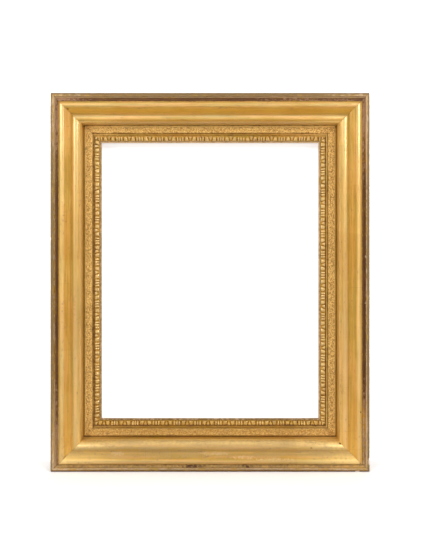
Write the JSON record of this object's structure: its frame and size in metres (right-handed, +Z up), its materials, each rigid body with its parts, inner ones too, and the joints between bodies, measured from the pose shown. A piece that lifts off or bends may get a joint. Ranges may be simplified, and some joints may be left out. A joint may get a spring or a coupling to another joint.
{
  "type": "picture frame",
  "caption": "Antique gilt picture frame, empty, with mitred ogee moulding, sanded frieze, pressed leaf sight edge, lapped back frame, turn buttons and ring hangers",
  "frame": {"origin": "middle of the bottom edge, at half the whole depth", "axes": "+Z up; the front of the frame faces -Y; +X is the viewer's right when looking at the front"},
  "size_m": [0.567, 0.0672, 0.673],
  "materials": {
    "gilding": "worn leaf gilding on gesso",
    "sanded_gilding": "gilded sand texture",
    "gilt_composition": "gilded pressed composition of chalk and glue",
    "aged_pine": "bare, darkened softwood",
    "peg_wood": "bare hardwood",
    "iron": "dull, lightly rusted iron",
    "brass": "tarnished brass"
  },
  "bodies": {
    "frame": {"back_rail_top": "aged_pine", "back_rail_bottom": "aged_pine", "back_stile_left": "aged_pine", "back_stile_right": "aged_pine", "moulding_top": "gilding", "moulding_bottom": "gilding", "moulding_left": "gilding", "moulding_right": "gilding", "frieze_rail_top": "sanded_gilding", "frieze_rail_bottom": "sanded_gilding", "frieze_rail_left": "sanded_gilding", "frieze_rail_right": "sanded_gilding", "leaf_strip_top": "gilt_composition", "leaf_strip_bottom": "gilt_composition", "leaf_strip_left": "gilt_composition", "leaf_strip_right": "gilt_composition", "lap_pegs": "peg_wood", "moulding_nails": "iron", "frieze_brads": "iron", "turn_button_screws": "brass", "screw_eye_left": "iron", "screw_eye_right": "iron"},
    "turn_button_left_upper": {"turn_button_left_upper": "brass"},
    "turn_button_left_lower": {"turn_button_left_lower": "brass"},
    "turn_button_right_upper": {"turn_button_right_upper": "brass"},
    "turn_button_right_lower": {"turn_button_right_lower": "brass"},
    "hanging_ring_left": {"hanging_ring_left": "iron"},
    "hanging_ring_right": {"hanging_ring_right": "iron"}
  },
  "joints": [
    {"name": "turn_button_left_upper_turn", "type": "hinge", "parent": "frame", "child": "turn_button_left_upper", "pos_m": [-0.2184, 0.02535, 0.4565], "axis": [0, 1, 0], "continuous": true},
    {"name": "turn_button_left_lower_turn", "type": "hinge", "parent": "frame", "child": "turn_button_left_lower", "pos_m": [-0.2184, 0.02535, 0.2165], "axis": [0, 1, 0], "continuous": true},
    {"name": "turn_button_right_upper_turn", "type": "hinge", "parent": "frame", "child": "turn_button_right_upper", "pos_m": [0.2184, 0.02535, 0.4565], "axis": [0, 1, 0], "continuous": true},
    {"name": "turn_button_right_lower_turn", "type": "hinge", "parent": "frame", "child": "turn_button_right_lower", "pos_m": [0.2184, 0.02535, 0.2165], "axis": [0, 1, 0], "continuous": true},
    {"name": "hanging_ring_left_swing", "type": "hinge", "parent": "frame", "child": "hanging_ring_left", "pos_m": [-0.245, 0.02965, 0.523], "axis": [1, 0, 0], "range_deg": [-6, 186]},
    {"name": "hanging_ring_right_swing", "type": "hinge", "parent": "frame", "child": "hanging_ring_right", "pos_m": [0.245, 0.02965, 0.523], "axis": [1, 0, 0], "range_deg": [-6, 186]}
  ]
}
